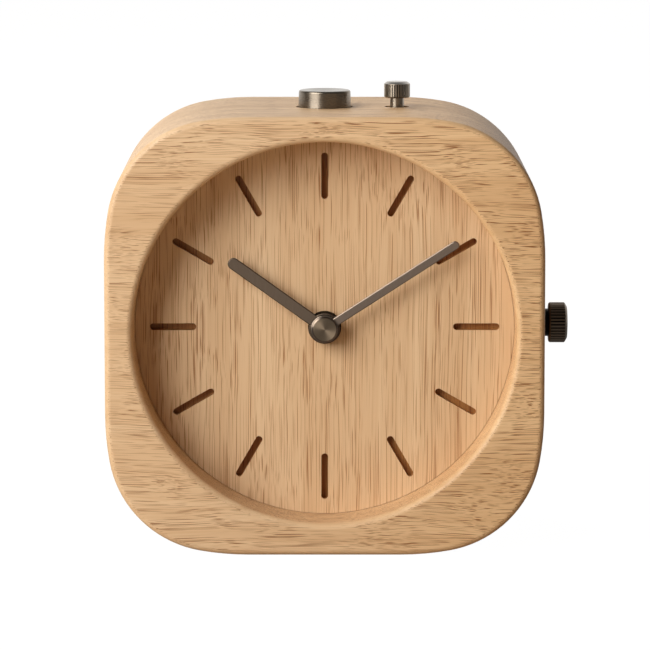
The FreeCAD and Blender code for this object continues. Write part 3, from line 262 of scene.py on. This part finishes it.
def oak(name, turn, heart, tones, grain):
    """Oak with its grain along X after the turn; heart is the tree's middle, in the grain's frame."""
    pale, deep, pore = tones
    material, tree, shader = clear_material(name)
    here = put(tree, "TexCoord").outputs["Object"]
    straight = put(tree, "Mapping", {"Vector": here, "Rotation": turn, "Scale": (1 / MM,) * 3}).outputs[0]

    # The tree didn't grow straight: its grain wanders widely, and ripples a little.
    place = straight
    drifts = ((0.016, 0.04, 0.0, grain["sway"]), (0.08, 0.20, 5.0, grain["ripple"]))
    for along, across, shift, reach in drifts:
        wander = noise(tree, grained(tree, straight, along, across, shift), 1.0).outputs["Color"]
        wander = vector(tree, "SUBTRACT", wander, (0.5, 0.5, 0.5))
        place = vector(tree, "ADD", place, vector(tree, "MULTIPLY", wander, (0.0, reach, reach)))

    # Each year's ring starts with open, porous early wood.
    offset = vector(tree, "MULTIPLY", vector(tree, "SUBTRACT", place, (0.0, *heart)), (0.0, 1.0, 1.0))
    year = calc(tree, "FRACT", calc(tree, "DIVIDE", length(tree, offset), grain["ring_pitch"]))
    early = spread(tree, calc(tree, "PINGPONG", calc(tree, "ADD", year, 0.2), 0.5), 0.16, 0.46)

    # Streaks of four widths, from broad bands of tone to hair lines.
    broad = streaks(tree, place, along=0.004, across=0.06, shift=3.1)
    band = streaks(tree, place, along=0.012, across=0.42, shift=9.4)
    fibre = streaks(tree, place, along=0.03, across=2.2, shift=7.7, roughness=0.6)
    hair = streaks(tree, place, grain["hair_along"], grain["hair_across"], shift=17.7, detail=1.0)
    calm = spread(tree, reading(tree, "Object", "X"), *QUIET_END, grain["quiet"], 1.0)

    # Small pores, and fewer large ones twice as long, mostly in the early wood.
    share = spread(tree, calc(tree, "MULTIPLY_ADD", band, 0.55, calc(tree, "MULTIPLY", early, 0.45)),
                   0.22, 0.80, grain["few"], grain["many"])
    share = calc(tree, "MULTIPLY", share, calm)
    small = vessels(tree, place, 1.0 / grain["pore_length"], grain["pore_across"], shift=11.3,
                    share=share, size=SMALL_PORE)
    large = vessels(tree, place, 0.5 / grain["pore_length"], grain["pore_across"] * 0.72, shift=23.9,
                    share=calc(tree, "MULTIPLY", share, LARGE_SHARE), size=LARGE_PORE)
    facing = calc(tree, "ABSOLUTE", reading(tree, "Normal", "Y"))
    rounded = calc(tree, "MULTIPLY", spread(tree, facing, 0.04, 0.3), spread(tree, facing, 0.99, 0.85))
    open_grain = calc(tree, "MULTIPLY_ADD", rounded, -EDGE_CLOSED, 1.0)
    pores = calc(tree, "MAXIMUM", calc(tree, "MULTIPLY", small, 0.8), large)
    pores = calc(tree, "MULTIPLY", pores, open_grain)

    # Colour, from the widest streaks to the finest and then the pores, which are sunk.
    body = mixed(tree, spread(tree, broad, 0.3, 0.7, 0.0, 0.5), pale, deep)
    body = mixed(tree, spread(tree, band, 0.3, 0.75, 0.0, grain["band"]), body, deep)
    body = mixed(tree, spread(tree, fibre, 0.44, 0.62, 0.0, grain["fibre"]), body, deep)
    line = calc(tree, "MULTIPLY", spread(tree, hair, 0.57, 0.68, 0.0, grain["hair"]), open_grain)
    body = mixed(tree, calc(tree, "MULTIPLY", line, calm), body, pore)
    colour = mixed(tree, calc(tree, "MULTIPLY", pores, PORE_SHADE), body, pore)
    height = calc(tree, "SUBTRACT", calc(tree, "MULTIPLY", fibre, 0.3), pores)
    relief(tree, shader, height, strength=0.2, deep=0.05)
    tree.links.new(spread(tree, fibre, 0.2, 0.8, *OILED), shader.inputs["Roughness"])
    return material, tree, shader, colour


# Pitch and length are in millimetres, and along and across are cycles in a millimetre. Few and
# many are the shares of cells that hold a pore, quiet is what is left of the grain at its quiet
# end, and hair, band and fibre say how strongly those streaks are coloured.
BLOCK_GRAIN = {"sway": 6.0, "ripple": 0.08, "ring_pitch": 3.4,
               "hair_along": 0.036, "hair_across": 6.6, "hair": 1.0,
               "pore_length": 11.0, "pore_across": 7.6, "few": 0.13, "many": 0.80,
               "quiet": 0.76, "band": 0.5, "fibre": 0.34}
BLOCK_HEART = (-46.0, -60.0)
BLOCK_TONES = (rgb(239, 208, 168), rgb(213, 174, 130), rgb(138, 84, 37))
BLOCK_RIGHT_TINT = (1.03, 0.97, 0.86, 1.0)   # the right side of the block is a little warmer
BLOCK_RIGHT_SPAN = (-25 * MM, 50 * MM)
block_oak, tree, shader, colour = oak("oak_block", (0, 0, 0), BLOCK_HEART, BLOCK_TONES, BLOCK_GRAIN)
right_tinted = mixed(tree, 1.0, colour, BLOCK_RIGHT_TINT, "MULTIPLY")
warm = spread(tree, reading(tree, "Object", "X"), *BLOCK_RIGHT_SPAN)
tree.links.new(mixed(tree, warm, colour, right_tinted), shader.inputs["Base Color"])
dress(block_oak, "case_body")

# ---- Dial ----
# A disc of quarter-sawn oak with its grain upright, let into the recess. The twelve hour marks
# are slots with round ends, milled with a hot cutter; the darker brown in them is partly that
# scorch and partly painted shade.
DIAL_FACE = -16.8 * MM
DIAL_GRAIN = {"sway": 2.4, "ripple": 0.08, "ring_pitch": 4.2,
              "hair_along": 0.019, "hair_across": 6.0, "hair": 0.85,
              "pore_length": 22.0, "pore_across": 5.2, "few": 0.02, "many": 0.32,
              "quiet": 1.0, "band": 0.38, "fibre": 0.16}
UPRIGHT = (0, math.radians(90), 0)
DIAL_HEART = (30.0, 240.0)
DIAL_TONES = (rgb(242, 212, 172), rgb(214, 174, 129), rgb(157, 99, 48))
DIAL_PAINTED_SHADE = (0.88, 0.88, 0.87, 1.0)      # painted shade: the right side of the dial is a little darker
DIAL_PAINTED_SHADE_SPAN = (8 * MM, 38 * MM)
SLOT_SCORCH_AND_SHADE = rgb(188, 143, 74)
SLOT_SCORCH_AND_SHADE_EDGE = (0.05 * MM, 0.15 * MM)       # how far behind the dial's face the scorch and painted shade set in
dial_oak, tree, shader, colour = oak("oak_dial", UPRIGHT, DIAL_HEART, DIAL_TONES, DIAL_GRAIN)
# Painted shade makes the right side of the dial a little darker.
right_painted_shade = mixed(tree, 1.0, colour, DIAL_PAINTED_SHADE, "MULTIPLY")
face = mixed(tree, spread(tree, reading(tree, "Object", "X"), *DIAL_PAINTED_SHADE_SPAN), colour, right_painted_shade)
# Partly scorch and partly painted shade: the oak inside the slots is coloured darker brown.
in_slots = spread(tree, reading(tree, "Object", "Y"), DIAL_FACE + SLOT_SCORCH_AND_SHADE_EDGE[0], DIAL_FACE + SLOT_SCORCH_AND_SHADE_EDGE[1])
scorched_and_shaded = mixed(tree, 0.9, colour, SLOT_SCORCH_AND_SHADE, "MULTIPLY")
tree.links.new(mixed(tree, in_slots, face, scorched_and_shaded), shader.inputs["Base Color"])
dress(dial_oak, "dial")


# ---- Hour hand and minute hand ----
# Blanked from thin steel sheet with a small burr-free bevel, brushed along their length and
# plated a satin dark bronze. The minute hand's bevels are polished and catch the lamp as a line.
# Their sides are coloured dark as painted shade.
def shaded(colour, share):
    """Darker colour of the same hue."""
    return [channel * share for channel in colour[:3]] + [1.0]


def uneven_gloss(tree, shader, roughness, value, low, high):
    """Let the roughness follow a value between two limits, by 15 % either way."""
    varied = spread(tree, value, low, high, roughness * 0.85, roughness * 1.15)
    tree.links.new(varied, shader.inputs["Roughness"])


def metal(name, colour, roughness, streak, metallic=1.0, worn=0.72, dents=0.01, turned=None, drawn=0.65,
          twist=0.0):
    """Worked metal, with streak fine lines in a metre along each axis, worn darker and dents millimetres
    deep. Turned names the axis that it was turned on, drawn says how far that draws out the highlights,
    and twist turns the lines about Y."""
    material, tree, shader = clear_material(name)
    here = put(tree, "TexCoord").outputs["Object"]
    mapped = put(tree, "Mapping", {"Vector": here, "Scale": streak, "Rotation": (0, twist, 0)}).outputs[0]
    lines = noise(tree, mapped, 1.0, detail=3.0).outputs["Fac"]
    tree.links.new(mixed(tree, lines, colour, shaded(colour, worn)), shader.inputs["Base Color"])
    uneven_gloss(tree, shader, roughness, lines, low=0.2, high=0.8)
    relief(tree, shader, lines, strength=0.25, deep=dents)
    shader.inputs["Metallic"].default_value = metallic
    if turned:
        around = put(tree, "Tangent", direction_type="RADIAL", axis=turned)
        tree.links.new(around.outputs[0], shader.inputs["Tangent"])
        shader.inputs["Anisotropic"].default_value = drawn
        shader.inputs["Anisotropic Rotation"].default_value = 0.25
    return material


def edged(material, side, bevel, gloss):
    """Give a hand's sides a dark colour of painted shade, and its bevels another colour and gloss than its
    face.
    """
    tree = material.node_tree
    shader = tree.nodes["Principled BSDF"]
    facing = calc(tree, "ABSOLUTE", reading(tree, "Normal", "Y"))
    off_face = spread(tree, facing, 0.85, 0.95, 1.0, 0.0)
    painted_shade_mask = spread(tree, facing, 0.3, 0.5, 1.0, 0.0)
    face = shader.inputs["Base Color"].links[0].from_socket
    satin = shader.inputs["Roughness"].links[0].from_socket
    colour = mixed(tree, painted_shade_mask, mixed(tree, off_face, face, bevel), side)
    tree.links.new(colour, shader.inputs["Base Color"])
    roughness = put(tree, "Mix", {0: off_face, 2: satin, 3: gloss}).outputs[0]
    tree.links.new(roughness, shader.inputs["Roughness"])
    shader.inputs["Specular Tint"].default_value = GRAZING
    return material


POLISHED_EDGE = rgb(126, 112, 99)
POLISH = 0.28               # roughness of a polished bevel, and of a dull one
DULL = 0.45
# Painted shade: the hour hand's bevels are coloured darker than its face.
HOUR_BEVEL_PAINTED_SHADE = rgb(96, 83, 71)
# Painted shade: the sides of the hands, their hubs and the cap are coloured dark.
PAINTED_SHADE_SIDE = rgb(34, 27, 22)
GRAZING = rgb(96, 84, 72)   # the plating stays dark where it is seen along its surface
BRUSHED = (1500, 1500, 250)
HOUR_TURN = math.radians(-54.4)            # these turn the brushing to run along each hand
MINUTE_TURN = math.radians(57.1)
hour_bronze = metal("hour_bronze", rgb(136, 119, 103), roughness=0.45, streak=BRUSHED, metallic=0.75,
                    worn=0.85, twist=HOUR_TURN)
minute_bronze = metal("minute_bronze", rgb(156, 139, 125), roughness=0.42, streak=BRUSHED, metallic=0.75,
                      worn=0.85, twist=MINUTE_TURN)
dress(edged(hour_bronze, PAINTED_SHADE_SIDE, HOUR_BEVEL_PAINTED_SHADE, DULL), "hour_hand")
dress(edged(minute_bronze, PAINTED_SHADE_SIDE, POLISHED_EDGE, POLISH), "minute_hand")

# ---- Hand cap ----
# Turned from bar and plated, pressed over the end of the arbor. The lathe's fine circular lines
# on its face spread the light into two opposite fans; its bevel is polished, and its side is
# coloured dark as painted shade.
cap_bronze = metal("cap_bronze", rgb(166, 145, 121), roughness=0.42, streak=(3000, 3000, 3000), worn=0.9,
                   turned="Y")
dress(edged(cap_bronze, PAINTED_SHADE_SIDE, POLISHED_EDGE, POLISH), "hand_cap")

# ---- Side knob ----
# Turned and straight-knurled, plated nearly black. The grooves of the knurling are painted
# darker than its crests, as painted shade.
SIDE_AXIS = (0, 0, 49.6 * MM)
SIDE_CREST = 4.68 * MM
SIDE_GROOVE = 0.18 * MM
# Painted shade, dark in the grooves of the knurling.
GROOVE_PAINTED_SHADE = rgb(16, 11, 8)


def knurled(material, centre, crest, groove, axis):
    """Paint shade into a knurled metal below its crests, but not on its ends; axis is the knob's own."""
    tree = material.node_tree
    shader = tree.nodes["Principled BSDF"]
    coordinates = put(tree, "TexCoord")
    out = vector(tree, "SUBTRACT", coordinates.outputs["Object"], centre)
    out = vector(tree, "MULTIPLY", out, [1 - share for share in axis])
    sunk = spread(tree, length(tree, out), crest - groove, crest, 1.0, 0.0)
    lean = put(tree, "VectorMath", {0: coordinates.outputs["Normal"], 1: axis}, operation="DOT_PRODUCT")
    beside = spread(tree, calc(tree, "ABSOLUTE", lean.outputs["Value"]), 0.2, 0.5, 1.0, 0.0)
    plain = shader.inputs["Base Color"].links[0].from_socket
    dark = calc(tree, "MULTIPLY", sunk, beside)
    tree.links.new(mixed(tree, dark, plain, GROOVE_PAINTED_SHADE), shader.inputs["Base Color"])


knob_dark = metal("knob_dark", rgb(126, 111, 95), roughness=0.38, streak=(400, 3000, 3000), metallic=0.9,
                  worn=0.9)
knurled(knob_dark, SIDE_AXIS, SIDE_CREST, SIDE_GROOVE, (1, 0, 0))
dress(knob_dark, "side_knob")


# ---- Push button ----
# A turned steel cup with a rounded rim and a shallow dish in its top, brushed around its side,
# with a painted sheen that makes it lighter on top.
def painted_top_sheen(material, top):
    """Paint the upward faces of a turned steel piece a lighter colour, as a painted sheen."""
    tree = material.node_tree
    shader = tree.nodes["Principled BSDF"]
    upward = spread(tree, reading(tree, "Normal", "Z"), 0.6, 0.95)
    side = shader.inputs["Base Color"].links[0].from_socket
    tree.links.new(mixed(tree, upward, side, top), shader.inputs["Base Color"])
    return material


button_steel = metal("button_steel", rgb(136, 126, 113), roughness=0.29, streak=(300, 300, 9000), worn=0.93,
                     dents=0.0004, turned="Z", drawn=0.35)
# Painted sheen: the button's top is coloured lighter than its side.
dress(painted_top_sheen(button_steel, top=rgb(174, 171, 166)), "button_cap")

# ---- Small top knob and its stem ----
# Turned and straight-knurled steel with a bevelled top, on a plain polished stem that slides
# and turns in a dark bush below the top of the block.
ALARM_AXIS = (16.75 * MM, 0, 0)
ALARM_CREST = 3.0 * MM
ALARM_GROOVE = 0.14 * MM
alarm_steel = metal("alarm_steel", rgb(156, 145, 130), roughness=0.34, streak=(3000, 3000, 900), worn=0.97,
                    dents=0.0)
# The alarm knob's knurling gets the same painted shade in its grooves.
knurled(alarm_steel, ALARM_AXIS, ALARM_CREST, ALARM_GROOVE, (0, 0, 1))
polished_stem = metal("alarm_stem_steel", rgb(150, 140, 126), roughness=0.30, streak=(300, 300, 6000),
                      worn=0.93, dents=0.0004)
dark_bush = metal("dark_bush", rgb(40, 36, 32), roughness=0.5, streak=(1500, 1500, 1500), metallic=0.6)
# Painted sheen: the alarm knob's top is coloured lighter than its sides.
dress(painted_top_sheen(alarm_steel, top=rgb(208, 206, 202)), "alarm_knob")
dress(polished_stem, "alarm_stem")
dress(dark_bush, "alarm_bush")

# ---- Brass bushes ----
# Turned from brass bar and set in the oak and the dial; the stems and the hands' pipes run in
# them.
dress(metal("bush_brass", rgb(206, 170, 100), roughness=0.3, streak=(1500, 1500, 1500)),
      "side_bush", "button_bush", "centre_bush")

# ---- Stems and centre arbor ----
# Ground steel rod, bright, with faint turning lines. The arbor carries the minute hand, and the
# stems carry the side knob and the push button.
dress(metal("stem_steel", rgb(196, 196, 194), roughness=0.22, streak=(900, 900, 900)),
      "side_stem", "button_stem", "centre_arbor")

# ---- Spring clips ----
# Stamped from spring steel and left dark from hardening; each snaps over its stem behind the
# bush.
dress(metal("clip_steel", rgb(120, 118, 114), roughness=0.4, streak=(1200, 1200, 1200)),
      "stem_clip", "button_clip")

# ---- Button spring ----
# Five turns of hard-drawn steel wire between the bush and the ceiling of the button. It lifts
# the button after a press, and in the clock gets shorter as the button goes down; here it is
# built as one fixed coil.
WIRE_RADIUS = 0.28 * MM
WIRE_SIDES = 12
SPRING_TURNS = 5
STEPS_IN_TURN = 40
SMOOTH_BELOW = math.radians(40)
spring_low, spring_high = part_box("button_spring")
coil_radius = spring_high[0] - WIRE_RADIUS
coil_height = spring_high[2] - spring_low[2] - 2 * WIRE_RADIUS
bpy.ops.object.select_all(action="DESELECT")
bpy.ops.mesh.primitive_circle_add(vertices=WIRE_SIDES, radius=WIRE_RADIUS, rotation=(math.radians(90), 0, 0),
                                  location=(coil_radius, 0, spring_low[2] + WIRE_RADIUS))
spring = bpy.context.object
spring.name = "button_spring_wire"
bpy.ops.object.transform_apply(location=True, rotation=True, scale=True)
winding = spring.modifiers.new("winding", "SCREW")
winding.axis = "Z"
winding.iterations = SPRING_TURNS
winding.screw_offset = coil_height / SPRING_TURNS
winding.steps = winding.render_steps = STEPS_IN_TURN
bpy.ops.object.modifier_apply(modifier=winding.name)
bpy.ops.object.mode_set(mode="EDIT")
bpy.ops.mesh.select_all(action="SELECT")
bpy.ops.mesh.fill_holes(sides=0)
bpy.ops.mesh.normals_make_consistent(inside=False)
bpy.ops.object.mode_set(mode="OBJECT")
bpy.ops.object.shade_smooth_by_angle(angle=SMOOTH_BELOW)
spring_wire = metal("spring_wire", rgb(186, 186, 182), roughness=0.25, streak=(2500, 2500, 2500))
spring.data.materials.append(spring_wire)
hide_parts("button_spring")
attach(spring, "case")
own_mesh(spring)

# ---- Screws ----
# Small pan heads, zinc plated, with a faint blue cast. Four hold the tray to the oak, four
# the movement's lid, and four the back cover.
dress(metal("screw_zinc", rgb(204, 206, 208), roughness=0.3, streak=(700, 700, 700)),
      "tray_screws", "lid_screws", "back_screws")


# ---- Moulded wheels and slider ----
# Moulded in natural acetal, which is milky white with a slight sheen; flow lines from the
# gate stay faintly visible.
def moulded(name, colour, roughness, texture, waxy=0.0):
    """Moulded plastic with a surface texture this many millimetres deep, uneven in colour and gloss."""
    material, tree, shader = clear_material(name)
    here = put(tree, "TexCoord").outputs["Object"]
    flow = noise(tree, here, 90.0, detail=3.0, distortion=0.8).outputs["Fac"]
    speckle = noise(tree, here, 4200.0).outputs["Fac"]
    clouded = mixed(tree, spread(tree, flow, 0.3, 0.7), colour, shaded(colour, 0.8))
    tree.links.new(clouded, shader.inputs["Base Color"])
    uneven = calc(tree, "MULTIPLY_ADD", speckle, 0.5, calc(tree, "MULTIPLY", flow, 0.5))
    uneven_gloss(tree, shader, roughness, uneven, low=0.3, high=0.7)
    relief(tree, shader, speckle, strength=0.5, deep=texture)
    shader.inputs["Subsurface Weight"].default_value = waxy
    shader.inputs["Subsurface Scale"].default_value = 0.5 * MM
    return material


dress(moulded("natural_acetal", rgb(232, 229, 218), roughness=0.38, texture=0.002, waxy=0.25),
      "centre_wheel", "hour_wheel", "motion_wheel", "third_wheel", "second_wheel", "alarm_slider")

# ---- Brass pinions ----
# Cut from drawn brass pinion wire, so that the teeth are bright along their length. One is on
# the motor's shaft, and one on the stem of the side knob.
dress(metal("pinion_brass", rgb(216, 180, 104), roughness=0.24, streak=(400, 400, 3000)),
      "motor_pinion", "stem_pinion")

# ---- Movement tray and lid ----
# Two halves of a glass-filled black housing, moulded with a fine matt texture. The tray is
# screwed to the oak, and the lid to the tray.
dress(moulded("movement_black", rgb(48, 48, 50), roughness=0.55, texture=0.012),
      "movement_tray", "movement_lid")

# ---- Stepper motor and its coil ----
# The motor's can is drawn from tinned steel. The coil beside it is enamelled copper wire,
# wound in even layers round its core.
dress(metal("tinned_can", rgb(188, 190, 190), roughness=0.33, streak=(500, 500, 500)), "stepper_motor")
COIL_PITCH = 0.16 * MM
coil_copper, tree, shader = clear_material("coil_copper")
wave = calc(tree, "PINGPONG", calc(tree, "DIVIDE", reading(tree, "Object", "X"), COIL_PITCH), 0.5)
crown = spread(tree, wave, 0.02, 0.35)
# Painted shade: the thin lines between the turns of wire are coloured dark.
tree.links.new(mixed(tree, crown, rgb(96, 42, 22), rgb(196, 108, 62)), shader.inputs["Base Color"])
relief(tree, shader, crown, strength=0.6, deep=0.05)
shader.inputs["Metallic"].default_value = 0.7
shader.inputs["Roughness"].default_value = 0.3
shader.inputs["Coat Weight"].default_value = 0.5
dress(coil_copper, "motor_coil")

# ---- Circuit board ----
# Thin glass-epoxy under a green solder mask, through which the copper tracks show lighter.
# The weave of the glass cloth shows faintly.
TRACK_PITCH = 1.9 * MM
board_green, tree, shader = clear_material("board_green")
here = put(tree, "TexCoord").outputs["Object"]
flat = put(tree, "Mapping", {"Vector": here, "Rotation": (math.radians(90), 0, 0),
                             "Scale": (1 / TRACK_PITCH,) * 3}).outputs[0]
tracks = put(tree, "TexBrick", {"Vector": flat, "Scale": 1.0, "Mortar Size": 0.09, "Mortar Smooth": 0.2,
                                "Brick Width": 2.6, "Row Height": 0.8}).outputs["Fac"]
weave = noise(tree, here, 1600.0).outputs["Fac"]
mask = mixed(tree, weave, rgb(22, 78, 46), rgb(30, 92, 56))
tree.links.new(mixed(tree, tracks, mask, rgb(70, 136, 84)), shader.inputs["Base Color"])
relief(tree, shader, tracks, strength=0.5, deep=0.03)
shader.inputs["Roughness"].default_value = 0.28
dress(board_green, "circuit_board")

# ---- Control chip and quartz crystal ----
# The chip is moulded in black epoxy with no marking. The crystal sits in a small drawn can
# of nickel silver.
dress(moulded("chip_epoxy", rgb(34, 34, 36), roughness=0.5, texture=0.006), "control_chip")
dress(metal("crystal_can", rgb(206, 206, 200), roughness=0.2, streak=(2500, 300, 2500)), "quartz_crystal")

# ---- Contacts ----
# Blanked and bent from nickel-plated spring strip, rolled bright, with the rolling lines along
# X: the battery's two, the button's, the alarm's, and the buzzer's pins.
dress(metal("contact_nickel", rgb(210, 206, 196), roughness=0.25, streak=(200, 2500, 2500)),
      "button_contact", "alarm_contact", "contact_plus", "contact_minus", "buzzer_pins")

# ---- Back cover and battery door ----
# One colour of black-brown plastic, moulded with an eroded matt texture that hides finger
# marks. Four screws hold the cover to the oak, and the door pulls off it.
dress(moulded("cover_plastic", rgb(52, 48, 45), roughness=0.6, texture=0.02), "back_cover", "battery_door")


# ---- Battery ----
# A plain cell in a shrunk grey sleeve with one pale band, open over the tinned steel at both
# ends.
def between(tree, value, ends):
    """One where a value lies between two ends, and nought elsewhere."""
    past_low = calc(tree, "GREATER_THAN", value, ends[0])
    return calc(tree, "MULTIPLY", past_low, calc(tree, "LESS_THAN", value, ends[1]))


SLEEVE_ENDS = (-23.6 * MM, 24.9 * MM)
PALE_BAND = (15.0 * MM, 22.0 * MM)
sleeve, tree, shader = clear_material("battery_sleeve")
along = reading(tree, "Object", "X")
scuffs = noise(tree, put(tree, "TexCoord").outputs["Object"], 500.0, detail=4.0).outputs["Fac"]
film = mixed(tree, scuffs, rgb(96, 102, 112), rgb(112, 118, 128))
film = mixed(tree, between(tree, along, PALE_BAND), film, rgb(206, 208, 206))
sleeved = between(tree, along, SLEEVE_ENDS)
tree.links.new(mixed(tree, sleeved, rgb(196, 196, 190), film), shader.inputs["Base Color"])
tree.links.new(calc(tree, "SUBTRACT", 1.0, sleeved), shader.inputs["Metallic"])
tree.links.new(spread(tree, scuffs, 0.3, 0.7, 0.2, 0.32), shader.inputs["Roughness"])
dress(sleeve, "battery")

# ---- Buzzer ----
# A thin brass disc with a round of silvered ceramic bonded to its middle. It sits inside the
# back cover, level with the sound holes.
BUZZER_MIDDLE = (0, 0, 67.8 * MM)
CERAMIC_RADIUS = 8.6 * MM
buzzer_disc = metal("buzzer_brass", rgb(214, 178, 104), roughness=0.3, streak=(900, 900, 900))
tree = buzzer_disc.node_tree
shader = tree.nodes["Principled BSDF"]
out = vector(tree, "SUBTRACT", put(tree, "TexCoord").outputs["Object"], BUZZER_MIDDLE)
out = vector(tree, "MULTIPLY", out, (1, 0, 1))
silvered = calc(tree, "LESS_THAN", length(tree, out), CERAMIC_RADIUS)
brass = shader.inputs["Base Color"].links[0].from_socket
tree.links.new(mixed(tree, silvered, brass, rgb(222, 220, 212)), shader.inputs["Base Color"])
dress(buzzer_disc, "buzzer")
